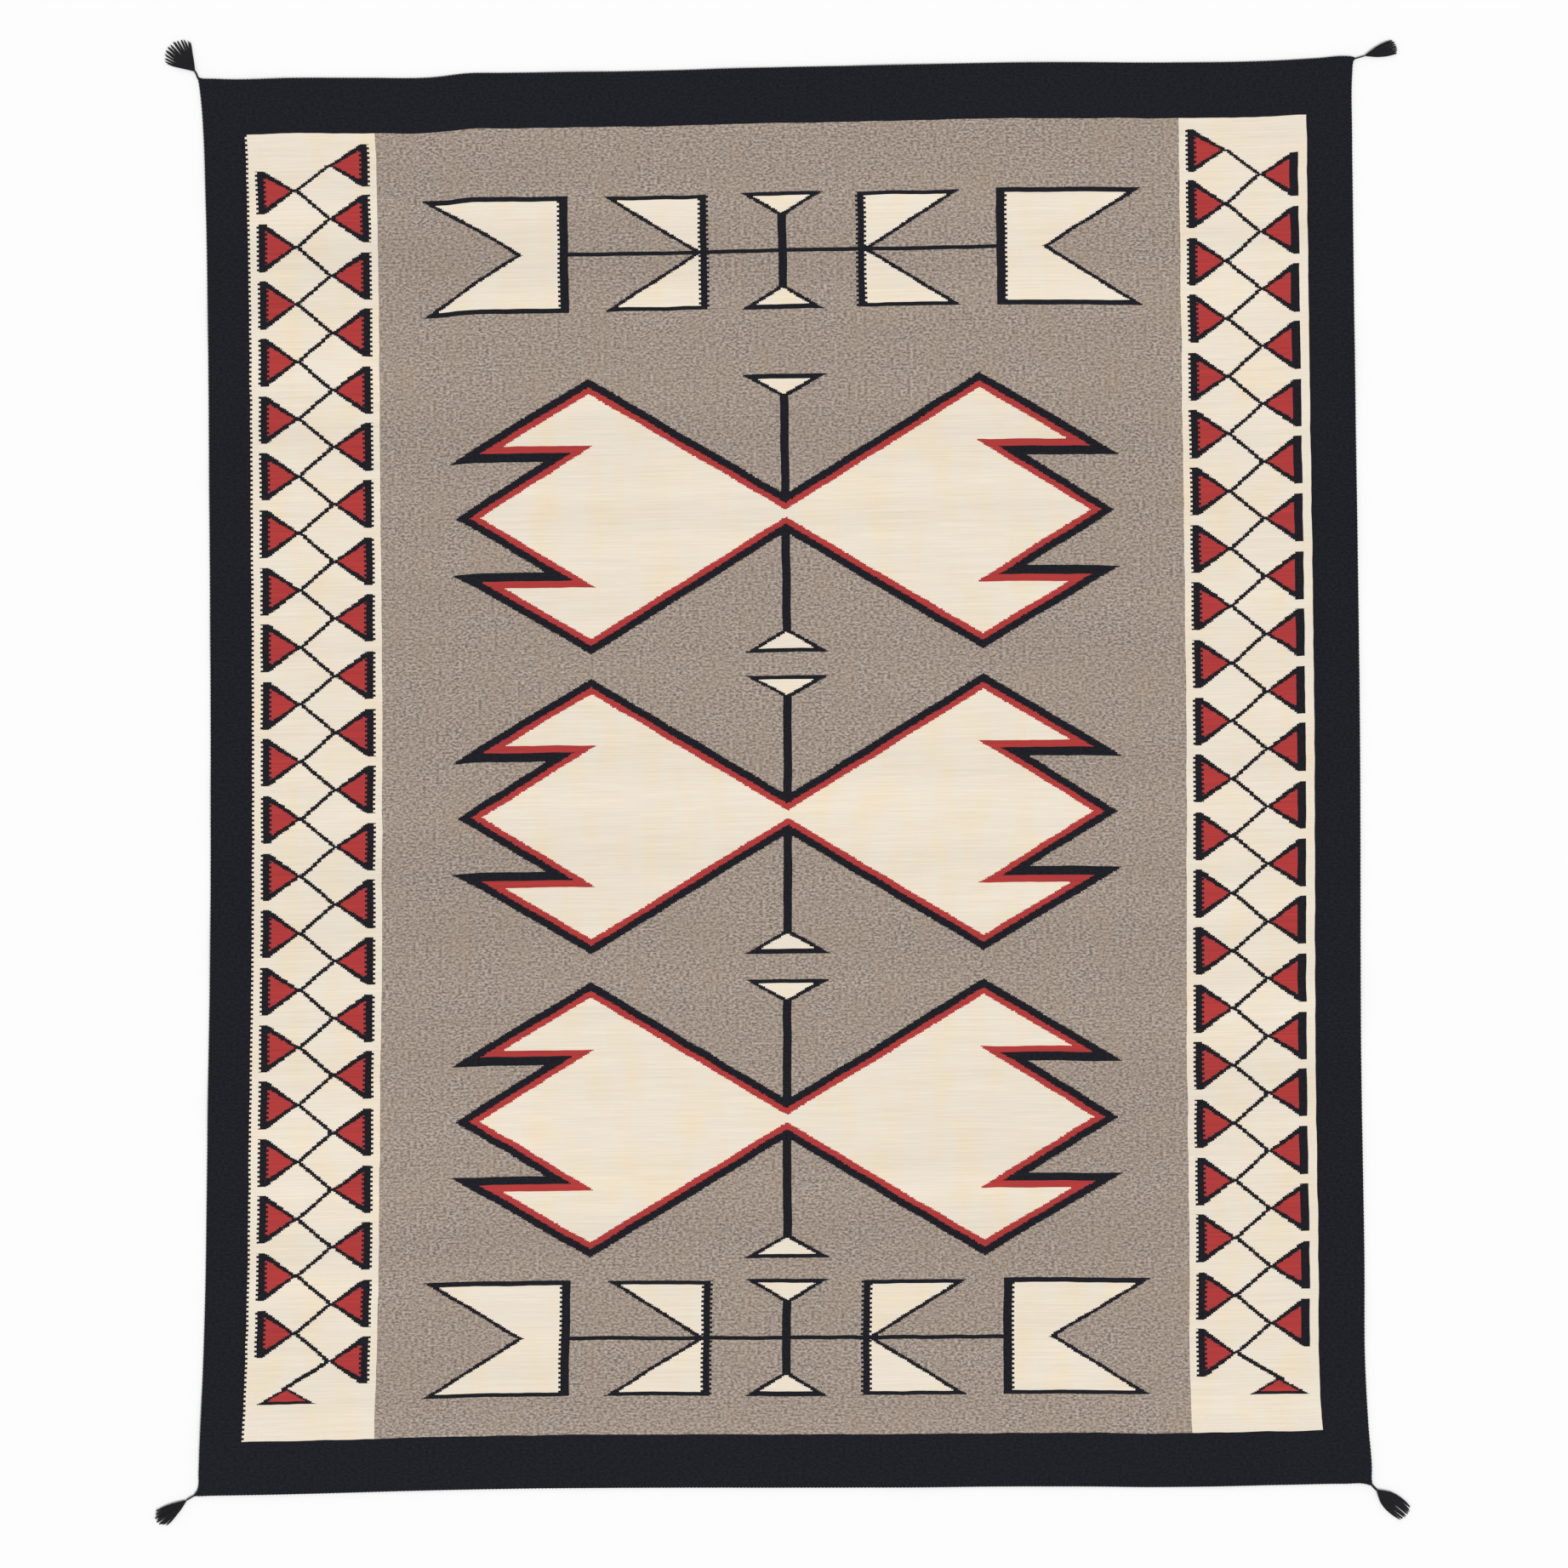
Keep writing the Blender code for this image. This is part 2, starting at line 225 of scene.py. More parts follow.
def off_the_loom(u, v):
    """Where the weave's places, in metres from its middle, lie on the floor: x, y and lift."""
    a = u / LOOM_WIDTH + 0.5
    b = v / LOOM_LENGTH + 0.5
    left_y = (1 - b) * LEFT_EDGE[0][0] + b * LEFT_EDGE[-1][0]
    right_y = (1 - b) * RIGHT_EDGE[0][0] + b * RIGHT_EDGE[-1][0]
    top_x = (1 - a) * TOP_EDGE[0][0] + a * TOP_EDGE[-1][0]
    bottom_x = (1 - a) * BOTTOM_EDGE[0][0] + a * BOTTOM_EDGE[-1][0]
    left = edge_line(LEFT_EDGE, left_y), left_y
    right = edge_line(RIGHT_EDGE, right_y), right_y
    top = top_x, edge_line(TOP_EDGE, top_x)
    bottom = bottom_x, edge_line(BOTTOM_EDGE, bottom_x)
    place = []
    for axis in (0, 1):
        between_tips = (
            (1 - a) * (1 - b) * BOTTOM_EDGE[0][axis]
            + a * (1 - b) * BOTTOM_EDGE[-1][axis]
            + (1 - a) * b * TOP_EDGE[0][axis]
            + a * b * TOP_EDGE[-1][axis]
        )
        sides = (1 - a) * left[axis] + a * right[axis]
        ends = (1 - b) * bottom[axis] + b * top[axis]
        place.append((sides + ends - between_tips) * MM + SOLIDS_SHIFT[axis])
    swell = sum(
        rise * np.sin(math.tau * (u / MM / across + v / MM / along) + phase)
        for across, along, rise, phase in SWELLS
    )
    inset = np.minimum(LOOM_WIDTH / 2 - abs(u), LOOM_LENGTH / 2 - abs(v))
    ripple = np.sin(math.tau * (u + v) / EDGE_SWELL_LENGTH) * np.exp(-inset / EDGE_SWELL_WIDTH)
    lift = np.maximum(swell * MM + ripple * EDGE_SWELL_RISE, 0.0)
    return place[0], place[1], lift


def grid_lines(length):
    """Places across a length in metres: close together in the rolled edge, then even."""
    inner = length / 2 - EDGE_INSETS[-1]
    even = np.linspace(-inner, inner, round(2 * inner / CELL) + 1)
    ends = length / 2 - EDGE_INSETS[:-1]
    return np.concatenate([-ends, even, ends[::-1]])


def weave_face(name, rise):
    """One face of the weave: a grid moved to where the weave lies, with its two maps."""
    lines_u = grid_lines(LOOM_WIDTH)
    lines_v = grid_lines(LOOM_LENGTH)
    cells = len(lines_u) - 1, len(lines_v) - 1
    bpy.ops.object.select_all(action="DESELECT")
    bpy.ops.mesh.primitive_grid_add(x_subdivisions=cells[0], y_subdivisions=cells[1], size=2)
    face = bpy.context.object
    face.name = name
    mesh = face.data
    spots = np.empty(len(mesh.vertices) * 3)
    mesh.vertices.foreach_get("co", spots)
    spots = spots.reshape(-1, 3)
    u = lines_u[np.rint((spots[:, 0] + 1) / 2 * cells[0]).astype(int)]
    v = lines_v[np.rint((spots[:, 1] + 1) / 2 * cells[1]).astype(int)]
    x, y, lift = off_the_loom(u, v)
    inset = np.minimum(LOOM_WIDTH / 2 - abs(u), LOOM_LENGTH / 2 - abs(v))
    z = lift + np.interp(inset, EDGE_INSETS, rise)
    mesh.vertices.foreach_set("co", np.column_stack([x, y, z]).ravel())
    corners = np.empty(len(mesh.loops), int)
    mesh.loops.foreach_get("vertex_index", corners)
    on_loom = np.column_stack([u, v])
    on_sheet = np.column_stack([u / LOOM_WIDTH, v / LOOM_LENGTH]) + 0.5
    mesh.uv_layers.remove(mesh.uv_layers[0])
    for map_name, places in (("loom", on_loom), ("OFBake", on_sheet)):
        layer = mesh.uv_layers.new(name=map_name)
        layer.uv.foreach_set("vector", places[corners].ravel())
    return face


upper_face = weave_face("rug_weave", UPPER_RISE)
lower_face = weave_face("rug_underside", LOWER_RISE)
bpy.ops.object.mode_set(mode="EDIT")
bpy.ops.mesh.select_all(action="SELECT")
bpy.ops.mesh.flip_normals()
bpy.ops.object.mode_set(mode="OBJECT")
upper_face.select_set(True)
bpy.context.view_layer.objects.active = upper_face
bpy.ops.object.join()
weave = bpy.context.object
bpy.ops.object.mode_set(mode="EDIT")
bpy.ops.mesh.select_all(action="SELECT")
bpy.ops.mesh.remove_doubles(threshold=0.01 * MM)
bpy.ops.object.mode_set(mode="OBJECT")
bpy.ops.object.shade_smooth()

# The wool of the weave: handspun, carded singles in four natural and dyed colours. A
# matt, hairy yarn, so rough and with a little sheen. The pattern is drawn in loom
# millimetres from the weave's own map, and every figure is straight-sided.
GREY_DARK = linear("75685e")
GREY_LIGHT = linear("c2b4a8")
GREY_WARM = linear("a8937f")
CREAM = linear("f1e6d4")
CREAM_TAN = linear("f6dfbb")
RED = linear("ab383b")
RED_ORANGE = linear("bb3c36")
BLACK = linear("0d0e13")
BLACK_BLUE = linear("1b1d27")
WARP_PITCH = 4.6
WEFT_PITCH = 2.1
TOOTH_RISE = 5.0
TOOTH_DEPTH = 1.6
WANDER = 5.0
# Noises over the weave: name, millimetres across and along, detail and roughness.
NOISES = (
    ("wander", 75.0, 75.0, 2.0, 0.5),
    ("heather", 7.0, 4.2, 3.0, 0.62),
    ("shots", 160.0, 3.1, 2.0, 0.6),
    ("abrash", 2600.0, 130.0, 3.0, 0.5),
    ("patches", 60.0, 130.0, 3.0, 0.55),
)
# The bump: how far apart its fine beads lie across and along, and its depth, in
# millimetres. The beads are finer than the weave cells.
BEAD_ACROSS = 0.92
BEAD_ALONG = 0.42
BUMP_DEPTH = 0.6
# The wave texture turns through this many radians for each unit of its scale.
WAVE_TURN = 20.0
# The frame's inner edge, the edge between the grey field and the cream strips, and the
# middle lines about which each part of the pattern is mirrored.
FRAME_HALF_WIDTH = 1126.5
FRAME_HALF_LENGTH = 1384.0
FRAME_MIDDLE = -3.5
FIELD_HALF_WIDTH = 853.5
FIELD_MIDDLE = 3.0
STRIPS_MIDDLE = -4.5
# Three rows of lozenge pairs. The corners are those of the black outline's outside.
ROW_CENTRES = (557.0, -78.0, -721.0)
NECK = (0.0, 40.0)
CROWN = (415.8, 292.0)
BARB_TIP = (711.0, 117.0)
NOTCH = (512.0, 117.0)
MIDDLE_TIP = (701.0, 0.0)
OUTLINE_BLACK = 18.4
OUTLINE_RED = 14.3
POLE_HALF = 10.0
# The caps on the poles: point, flat top and half width.
ROW_CAP = (242.5, 294.0, 91.0)
BAND_CAP = (70.0, 123.5, 88.0)
THIN_LINE = 9.0
# The flag bands at both ends: each flag's bar, notch, tip, half height and bar width.
BAND_CENTRES = (1112.0, -1183.0)
FLAG = (456.0, 567.0, 765.0, 123.0, 20.0)
SMALL_FLAG = (159.2, 185.0, 381.0, 122.5, 18.5)
BAND_LINE_HALF = 4.6
# The side strips: a zigzag between two files of triangles that point at each other.
STRIP_MIDDLE = 988.8
STRIP_APEX = 35.0
STRIP_BAR = (101.0, 119.5)
STRIP_HALF_STEP = 60.5
STRIP_CENTRE = 50.5
STRIP_HALF_LENGTH = 1270.5
TRIANGLE_HALF = 50.5
TRIANGLE_SLOPE = 0.74
TRIANGLE_RED_SLOPE = 0.64
TRIANGLE_RED_INSET = 11.0
ZIGZAG_HALF = 5.2
TOP_SQUEEZE_FROM = 1250.0
TOP_SQUEEZE = 0.13
# The small flat triangle at each strip's foot: middle, base, apex, slope, line width.
FOOT = (1040.0, -1309.5, -1273.5, 0.575, 6.5)


def node(tree, kind, *inputs, **settings):
    """Adds a node, gives it its settings, and sets or links its inputs in order."""
    made = tree.nodes.new("ShaderNode" + kind)
    for name, value in settings.items():
        setattr(made, name, value)
    for socket, value in zip(made.inputs, inputs):
        if isinstance(value, bpy.types.Node):
            value = next(out for out in value.outputs if out.enabled)
        if isinstance(value, bpy.types.NodeSocket):
            tree.links.new(value, socket)
        elif value is not None:
            socket.default_value = value
    return made


def slant(first, second):
    """A figure's side: how far a place lies under the line through two corners."""
    slope = (second[1] - first[1]) / (second[0] - first[0])
    return slope, -1.0, first[1] - slope * first[0]


def turned(side):
    """The same side, for a figure that lies over it."""
    return tuple(-value for value in side)


def inside(tree, place, sides):
    """How far a place lies inside a figure: the least of its sides' values there."""
    least = None
    for side in sides:
        value = node(tree, "VectorMath", place, side, operation="DOT_PRODUCT")
        least = node(tree, "Math", least, value, operation="MINIMUM") if least else value
    return least


def joined(tree, figures):
    """Several figures as one: how far a place lies inside the one it is deepest in."""
    deepest = figures[0]
    for figure in figures[1:]:
        deepest = node(tree, "Math", deepest, figure, operation="MAXIMUM")
    return deepest


def folded(tree, value, middle):
    """The distance of a value from a middle line, so that a figure shows on both sides."""
    offset = node(tree, "Math", value, middle, operation="SUBTRACT")
    return node(tree, "Math", offset, operation="ABSOLUTE")


def field_figures(tree, x, y):
    """The lozenges, poles, caps and flags: what is inked, what is red and what is cream."""
    across = folded(tree, x, FIELD_MIDDLE)
    # The lower rows are raised to the first one's place, and drawn there.
    raised = y
    for higher, lower in zip(ROW_CENTRES, ROW_CENTRES[1:]):
        is_below = node(tree, "Math", y, (higher + lower) / 2, operation="LESS_THAN")
        raised = node(tree, "Math", is_below, higher - lower, raised, operation="MULTIPLY_ADD")
    row_place = node(tree, "CombineXYZ", across, folded(tree, raised, ROW_CENTRES[0]), 1.0)
    upper = inside(tree, row_place, (slant(NECK, CROWN), slant(CROWN, BARB_TIP)))
    barbs = inside(tree, row_place, ((0.0, 1.0, -NOTCH[1]),))
    middle = inside(tree, row_place, (slant(NOTCH, MIDDLE_TIP),))
    lozenge = node(tree, "Math", upper, joined(tree, (barbs, middle)), operation="MINIMUM")

    band_middle = sum(BAND_CENTRES) / 2
    band_away = (BAND_CENTRES[0] - BAND_CENTRES[1]) / 2
    to_band = folded(tree, folded(tree, y, band_middle), band_away)
    band_place = node(tree, "CombineXYZ", across, to_band, 1.0)
    outlined = []
    for bar, notch, tip, height, bar_width in (FLAG, SMALL_FLAG):
        bar_side = (THIN_LINE / bar_width, 0.0, -bar * THIN_LINE / bar_width)
        fly = turned(slant((notch, 0.0), (tip, height)))
        outlined.append(inside(tree, band_place, (bar_side, fly, (0.0, -1.0, height))))
    for place, (point, top, half_width) in ((row_place, ROW_CAP), (band_place, BAND_CAP)):
        sides = turned(slant((0.0, point), (half_width, top))), (0.0, -1.0, top)
        outlined.append(inside(tree, place, sides))
    outlined = joined(tree, outlined)

    bars = []
    for place, half_width, reach in (
        (row_place, POLE_HALF, ROW_CAP[0] + THIN_LINE),
        (band_place, POLE_HALF, BAND_CAP[0] + THIN_LINE),
        (band_place, FLAG[0] + THIN_LINE, BAND_LINE_HALF),
    ):
        bars.append(inside(tree, place, ((-1.0, 0.0, half_width), (0.0, -1.0, reach))))
    inked = node(tree, "Math", joined(tree, (lozenge, outlined, *bars)), 0.0, operation="GREATER_THAN")
    red = node(tree, "Math", lozenge, OUTLINE_BLACK, operation="GREATER_THAN")
    # The poles end at the lozenges' necks, whose cream runs through from side to side.
    lozenge_cream = node(tree, "Math", lozenge, OUTLINE_BLACK + OUTLINE_RED, operation="GREATER_THAN")
    other_cream = node(tree, "Math", outlined, THIN_LINE, operation="GREATER_THAN")
    return inked, red, joined(tree, (lozenge_cream, other_cream))


def strip_figures(tree, x, y):
    """The side strips' triangles and zigzag: what is inked and what is red."""
    side = folded(tree, x, STRIPS_MIDDLE)
    squeezed = node(tree, "Math", y, TOP_SQUEEZE_FROM, operation="SUBTRACT")
    squeezed = node(tree, "Math", squeezed, 0.0, operation="MAXIMUM")
    stretched = node(tree, "Math", squeezed, TOP_SQUEEZE, y, operation="MULTIPLY_ADD")
    along = node(tree, "Math", stretched, STRIP_CENTRE, operation="SUBTRACT")
    step = node(tree, "Math", along, STRIP_HALF_STEP, operation="PINGPONG")
    off = node(tree, "Math", side, STRIP_MIDDLE, operation="SUBTRACT")
    is_outer = node(tree, "Math", off, 0.0, operation="GREATER_THAN")
    mirrored = node(tree, "Math", STRIP_HALF_STEP, step, operation="SUBTRACT")
    height = node(tree, "Mix", is_outer, None, mirrored, step)
    reach = node(tree, "Math", off, operation="ABSOLUTE")
    place = node(tree, "CombineXYZ", reach, height, 1.0)
    triangle = inside(
        tree,
        place,
        (
            (TRIANGLE_SLOPE, -1.0, -TRIANGLE_SLOPE * STRIP_APEX),
            (0.0, -1.0, TRIANGLE_HALF),
            (-1.0, 0.0, STRIP_BAR[1]),
        ),
    )
    red_apex = STRIP_APEX + TRIANGLE_RED_INSET
    red = inside(
        tree,
        place,
        ((TRIANGLE_RED_SLOPE, -1.0, -TRIANGLE_RED_SLOPE * red_apex), (-1.0, 0.0, STRIP_BAR[0])),
    )
    away = node(tree, "Math", along, operation="ABSOLUTE")
    file_end = node(tree, "Math", is_outer, -STRIP_HALF_STEP, operation="MULTIPLY")
    file_end = node(tree, "Math", file_end, STRIP_HALF_LENGTH + STRIP_HALF_STEP, operation="ADD")
    in_file = node(tree, "Math", away, file_end, operation="LESS_THAN")
    slope = 2 * STRIP_APEX / STRIP_HALF_STEP
    zigzag = node(tree, "Math", step, -slope, STRIP_APEX, operation="MULTIPLY_ADD")
    zigzag = node(tree, "Math", off, zigzag, operation="SUBTRACT")
    zigzag = node(tree, "Math", zigzag, operation="ABSOLUTE")
    on_zigzag = node(tree, "Math", zigzag, ZIGZAG_HALF * slope, operation="LESS_THAN")
    short = node(tree, "Math", away, STRIP_HALF_LENGTH, operation="LESS_THAN")
    on_zigzag = node(tree, "Math", on_zigzag, short, operation="MULTIPLY")

    foot_x, foot_base, foot_apex, foot_slope, foot_line = FOOT
    foot_place = node(tree, "CombineXYZ", folded(tree, side, foot_x), y, 1.0)
    foot = inside(tree, foot_place, ((0.0, 1.0, -foot_base), (-foot_slope, -1.0, foot_apex)))
    last_apex = STRIP_MIDDLE - STRIP_APEX, STRIP_CENTRE - STRIP_HALF_LENGTH
    tail_side = slant(last_apex, (foot_x, foot_apex))
    tail_place = node(tree, "CombineXYZ", side, y, 1.0)
    tail = inside(
        tree,
        tail_place,
        (
            (tail_side[0], tail_side[1], tail_side[2] + ZIGZAG_HALF),
            turned((tail_side[0], tail_side[1], tail_side[2] - ZIGZAG_HALF)),
            (1.0, 0.0, -last_apex[0]),
            (-1.0, 0.0, foot_x + 2 * ZIGZAG_HALF),
        ),
    )
    in_triangle = node(tree, "Math", triangle, 0.0, operation="GREATER_THAN")
    in_triangle = node(tree, "Math", in_triangle, in_file, operation="MULTIPLY")
    in_red = node(tree, "Math", red, 0.0, operation="GREATER_THAN")
    in_red = node(tree, "Math", in_red, in_triangle, operation="MULTIPLY")
    at_foot = node(tree, "Math", joined(tree, (foot, tail)), 0.0, operation="GREATER_THAN")
    foot_red = node(tree, "Math", foot, foot_line, operation="GREATER_THAN")
    return joined(tree, (in_triangle, on_zigzag, at_foot)), joined(tree, (in_red, foot_red))


wool = bpy.data.materials.new("weft_faced_wool_tapestry")
wool.use_nodes = True
tree = wool.node_tree
shader = tree.nodes["Principled BSDF"]
loom_map = node(tree, "UVMap", uv_map="loom")
loom = node(tree, "VectorMath", loom_map, (1 / MM,) * 3, operation="MULTIPLY")
noise = {}
for name, across, along, detail, roughness in NOISES:
    place = node(tree, "VectorMath", loom, (1 / across, 1 / along, 0.0), operation="MULTIPLY")
    noise[name] = node(tree, "TexNoise", place, None, 1.0, detail, roughness)
heather_share = node(tree, "MapRange", noise["heather"], 0.38, 0.62)
shot_share = node(tree, "MapRange", noise["shots"], 0.3, 0.7)
warm_share = node(tree, "MapRange", noise["patches"], 0.35, 0.7, 0.0, 0.35)
tan_share = node(tree, "MapRange", noise["patches"], 0.45, 0.75, 0.0, 0.6)

# Hand-held lines: they wander by a millimetre or two over a hand's width.
wander = noise["wander"].outputs["Color"]
wander = node(tree, "VectorMath", wander, (0.5,) * 3, operation="SUBTRACT")
wander = node(tree, "VectorMath", wander, (WANDER, WANDER, 0.0), loom, operation="MULTIPLY_ADD")
# Each place takes the colour of its weave cell: one warp wide and one weft high.
cell = node(tree, "VectorMath", wander, (WARP_PITCH, WEFT_PITCH, 1.0), operation="SNAP")
cell_axes = node(tree, "SeparateXYZ", cell)
loom_axes = node(tree, "SeparateXYZ", loom)
# Upright colour joins are dovetailed: the wefts of both sides turn round the same warps.
tooth = node(tree, "Math", loom_axes.outputs["Y"], TOOTH_RISE, operation="PINGPONG")
tooth = node(tree, "Math", tooth, TOOTH_RISE / 2, operation="GREATER_THAN")
x = node(tree, "Math", tooth, TOOTH_DEPTH, cell_axes.outputs["X"], operation="MULTIPLY_ADD")
y = cell_axes.outputs["Y"]

grey = node(tree, "MixRGB", heather_share, GREY_DARK, GREY_LIGHT)
grey = node(tree, "MixRGB", warm_share, grey, GREY_WARM)
cream = node(tree, "MixRGB", tan_share, CREAM, CREAM_TAN)
red = node(tree, "MixRGB", shot_share, RED, RED_ORANGE)
black = node(tree, "MixRGB", heather_share, BLACK, BLACK_BLUE)

field_inked, field_red, field_cream = field_figures(tree, x, y)
strip_inked, strip_red = strip_figures(tree, x, y)
from_middle = folded(tree, x, STRIPS_MIDDLE)
in_strip = node(tree, "Math", from_middle, FIELD_HALF_WIDTH, operation="GREATER_THAN")
at_side = node(tree, "Math", from_middle, FRAME_HALF_WIDTH, operation="GREATER_THAN")
from_centre = folded(tree, y, FRAME_MIDDLE)
at_end = node(tree, "Math", from_centre, FRAME_HALF_LENGTH, operation="GREATER_THAN")
field = node(tree, "MixRGB", field_inked, grey, black)
field = node(tree, "MixRGB", field_red, field, red)
field = node(tree, "MixRGB", field_cream, field, cream)
strip = node(tree, "MixRGB", strip_inked, cream, black)
strip = node(tree, "MixRGB", strip_red, strip, red)
colour = node(tree, "MixRGB", in_strip, field, strip)
colour = node(tree, "MixRGB", joined(tree, (at_side, at_end)), colour, black)

# Uneven dye and spinning: bands along the weave, and single shots that are paler.
tone = node(tree, "MapRange", noise["abrash"], 0.25, 0.75, 0.94, 1.06)
shot_tone = node(tree, "MapRange", noise["shots"], 0.25, 0.75, 0.93, 1.07)
tone = node(tree, "Math", tone, shot_tone, operation="MULTIPLY")
colour = node(tree, "MixRGB", 1.0, colour, tone, blend_type="MULTIPLY")
tree.links.new(colour.outputs[0], shader.inputs["Base Color"])
shader.inputs["Roughness"].default_value = 0.95
shader.inputs["Specular IOR Level"].default_value = 0.15
shader.inputs["Sheen Weight"].default_value = 0.08
shader.inputs["Sheen Roughness"].default_value = 0.6

# The surface: fine beads where the weft crosses the warps, over lumps of uneven yarn.
across_scale = math.tau / WAVE_TURN / BEAD_ACROSS
along_scale = math.tau / WAVE_TURN / BEAD_ALONG
rib = node(tree, "TexWave", loom, across_scale, bands_direction="X")
ridge = node(tree, "TexWave", loom, along_scale, bands_direction="Y")
beads = node(tree, "Math", rib.outputs["Fac"], ridge.outputs["Fac"], operation="MULTIPLY")
height = node(tree, "Math", noise["heather"], 0.8, beads, operation="MULTIPLY_ADD")
bump = node(tree, "Bump", 0.35, BUMP_DEPTH * MM, None, height)
tree.links.new(bump.outputs[0], shader.inputs["Normal"])
weave.data.materials.append(wool)

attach(weave, "root")
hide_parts("rug")

# The edge cords. Two strands of black wool yarn are twisted round each other along
# every edge and woven in with the turns of the weft. They take the wear, and stand a
# little higher than the weave, as a low rope all round it.
CORD_INSET = 2.5 * MM
CORD_HEIGHT = 2.6 * MM
CORD_WIDTH = 5.0 * MM
CORD_TWIST = 15.0 * MM
CORD_STEP = 2.2 * MM
CORD_SIDES = 6
PLY_SHARE = 0.29
FIBRE_TWIST = 3.0 * MM
YARN_BLACK = linear("17171a")
YARN_PALE = linear("2a2a2f")


def along_line(line):
    """The ways to the side of a line and up from it, and the length walked along it."""
    ahead = np.gradient(line, axis=0)
    ahead /= np.linalg.norm(ahead, axis=1)[:, None]
    side = np.cross(ahead, (0, 0, 1))
    side /= np.linalg.norm(side, axis=1)[:, None]
    walked = np.cumsum(np.linalg.norm(np.diff(line, axis=0, prepend=line[:1]), axis=1))
    return side, np.cross(side, ahead), walked


def yarns(name, lines, radii, sides):
    """One mesh of round yarns, each swept along its own line of places."""
    places = []
    faces = []
    fibres = []
    turns = np.arange(sides) / sides
    for line, radius in zip(lines, radii):
        start = len(places)
        side, up, walked = along_line(line)
        for number, centre in enumerate(line):
            for turn in turns:
                angle = math.tau * turn
                way = side[number] * math.cos(angle) + up[number] * math.sin(angle)
                places.append(centre + way * radius[number])
                fibres.append((walked[number], turn))
        for number in range(len(line) - 1):
            for corner in range(sides):
                here = start + number * sides + corner
                following = start + number * sides + (corner + 1) % sides
                faces.append((here, following, following + sides, here + sides))
        last = start + (len(line) - 1) * sides
        faces.append(tuple(range(start + sides - 1, start - 1, -1)))
        faces.append(tuple(range(last, last + sides)))
    mesh = bpy.data.meshes.new(name)
    mesh.from_pydata([tuple(place) for place in places], [], faces)
    corners = np.empty(len(mesh.loops), int)
    mesh.loops.foreach_get("vertex_index", corners)
    layer = mesh.uv_layers.new(name="fibre")
    layer.uv.foreach_set("vector", np.array(fibres)[corners].ravel())
    mesh.shade_smooth()
    made = bpy.data.objects.new(name, mesh)
    bpy.context.scene.collection.objects.link(made)
    return made


def twisted(line, widths, plies, twist):
    """The lines and radii of a cord's plies, which turn round the cord's own line."""
    side, up, walked = along_line(line)
    off = (widths * (0.5 - PLY_SHARE))[:, None]
    lines = []
    for ply in range(plies):
        angle = math.tau * (walked / twist + ply / plies)[:, None]
        lines.append(line + off * (side * np.cos(angle) + up * np.sin(angle)))
    return lines, [widths * PLY_SHARE] * plies


yarn = bpy.data.materials.new("black_wool_yarn")
yarn.use_nodes = True
tree = yarn.node_tree
shader = tree.nodes["Principled BSDF"]
fibre = node(tree, "UVMap", uv_map="fibre")
lay = node(tree, "VectorMath", fibre, (1 / FIBRE_TWIST, 1.0, 0.0), operation="MULTIPLY")
lay_noise = node(tree, "TexNoise", lay, None, 2.2, 3.0, 0.6)
hair = node(tree, "TexNoise", node(tree, "TexCoord").outputs["Object"], None, 900.0, 2.0, 0.6)
yarn_share = node(tree, "Math", lay_noise, hair, operation="MULTIPLY")
yarn_share = node(tree, "MapRange", yarn_share, 0.2, 0.5)
yarn_colour = node(tree, "MixRGB", yarn_share, YARN_BLACK, YARN_PALE)
tree.links.new(yarn_colour.outputs[0], shader.inputs["Base Color"])
shader.inputs["Roughness"].default_value = 0.92
shader.inputs["Specular IOR Level"].default_value = 0.2
shader.inputs["Sheen Weight"].default_value = 0.1
shader.inputs["Sheen Roughness"].default_value = 0.5
yarn_bump = node(tree, "Bump", 0.5, 0.3 * MM, None, lay_noise)
tree.links.new(yarn_bump.outputs[0], shader.inputs["Normal"])

for name, across, from_end, to_end in (
    ("edge_cord_left", -1, (-1, -1), (-1, 1)),
    ("edge_cord_top", 0, (-1, 1), (1, 1)),
    ("edge_cord_right", 1, (1, -1), (1, 1)),
    ("edge_cord_bottom", 0, (-1, -1), (1, -1)),
):
    half = np.array((LOOM_WIDTH / 2, LOOM_LENGTH / 2)) - CORD_INSET
    run = LOOM_LENGTH if across else LOOM_WIDTH
    share = np.linspace(0, 1, round(run / CORD_STEP) + 1)[:, None]
    places = half * (np.array(from_end) * (1 - share) + np.array(to_end) * share)
    x, y, lift = off_the_loom(places[:, 0], places[:, 1])
    line = np.column_stack([x, y, lift + CORD_HEIGHT])
    cord = yarns(name, *twisted(line, np.full(len(line), CORD_WIDTH), 2, CORD_TWIST), CORD_SIDES)
    cord.data.materials.append(yarn)
    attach(cord, "root")

# The tassels. At each corner the edge cords are twisted hard into one thin neck, and
# from its end their loose wool ends and others bound in with them fan out over the
# floor, cut off by eye. The top left one is spread widest and shows its strands best.
TASSELS = (
    # corner, tip, neck direction, length and width, fan direction, its half angles,
    # middle and side lengths, strands and bunches; in millimetres and degrees
    ("top_left", (-1240.2, 1499.2), (108, 9.0, 4.6), 132.0, (34, 35, 35, 34), (77, 62), 150, 11),
    ("top_right", (1213.8, 1535.4), (16, 16.0, 3.0), 16.5, (22, 22, 18, 12), (71, 68), 84, 7),
    ("bottom_right", (1247.5, -1485.7), (-49, 10.5, 5.4), -40.0, (34, 32, 22, 13), (84, 79), 110, 8),
    ("bottom_left", (-1249.0, -1507.0), (209, 15.5, 3.6), 215.0, (24, 22, 20, 17), (79, 64), 96, 8),
)
NECK_PLIES = 3
NECK_TWIST = 9.0 * MM
NECK_OVERLAP = 7.0 * MM
NECK_STATIONS = 22
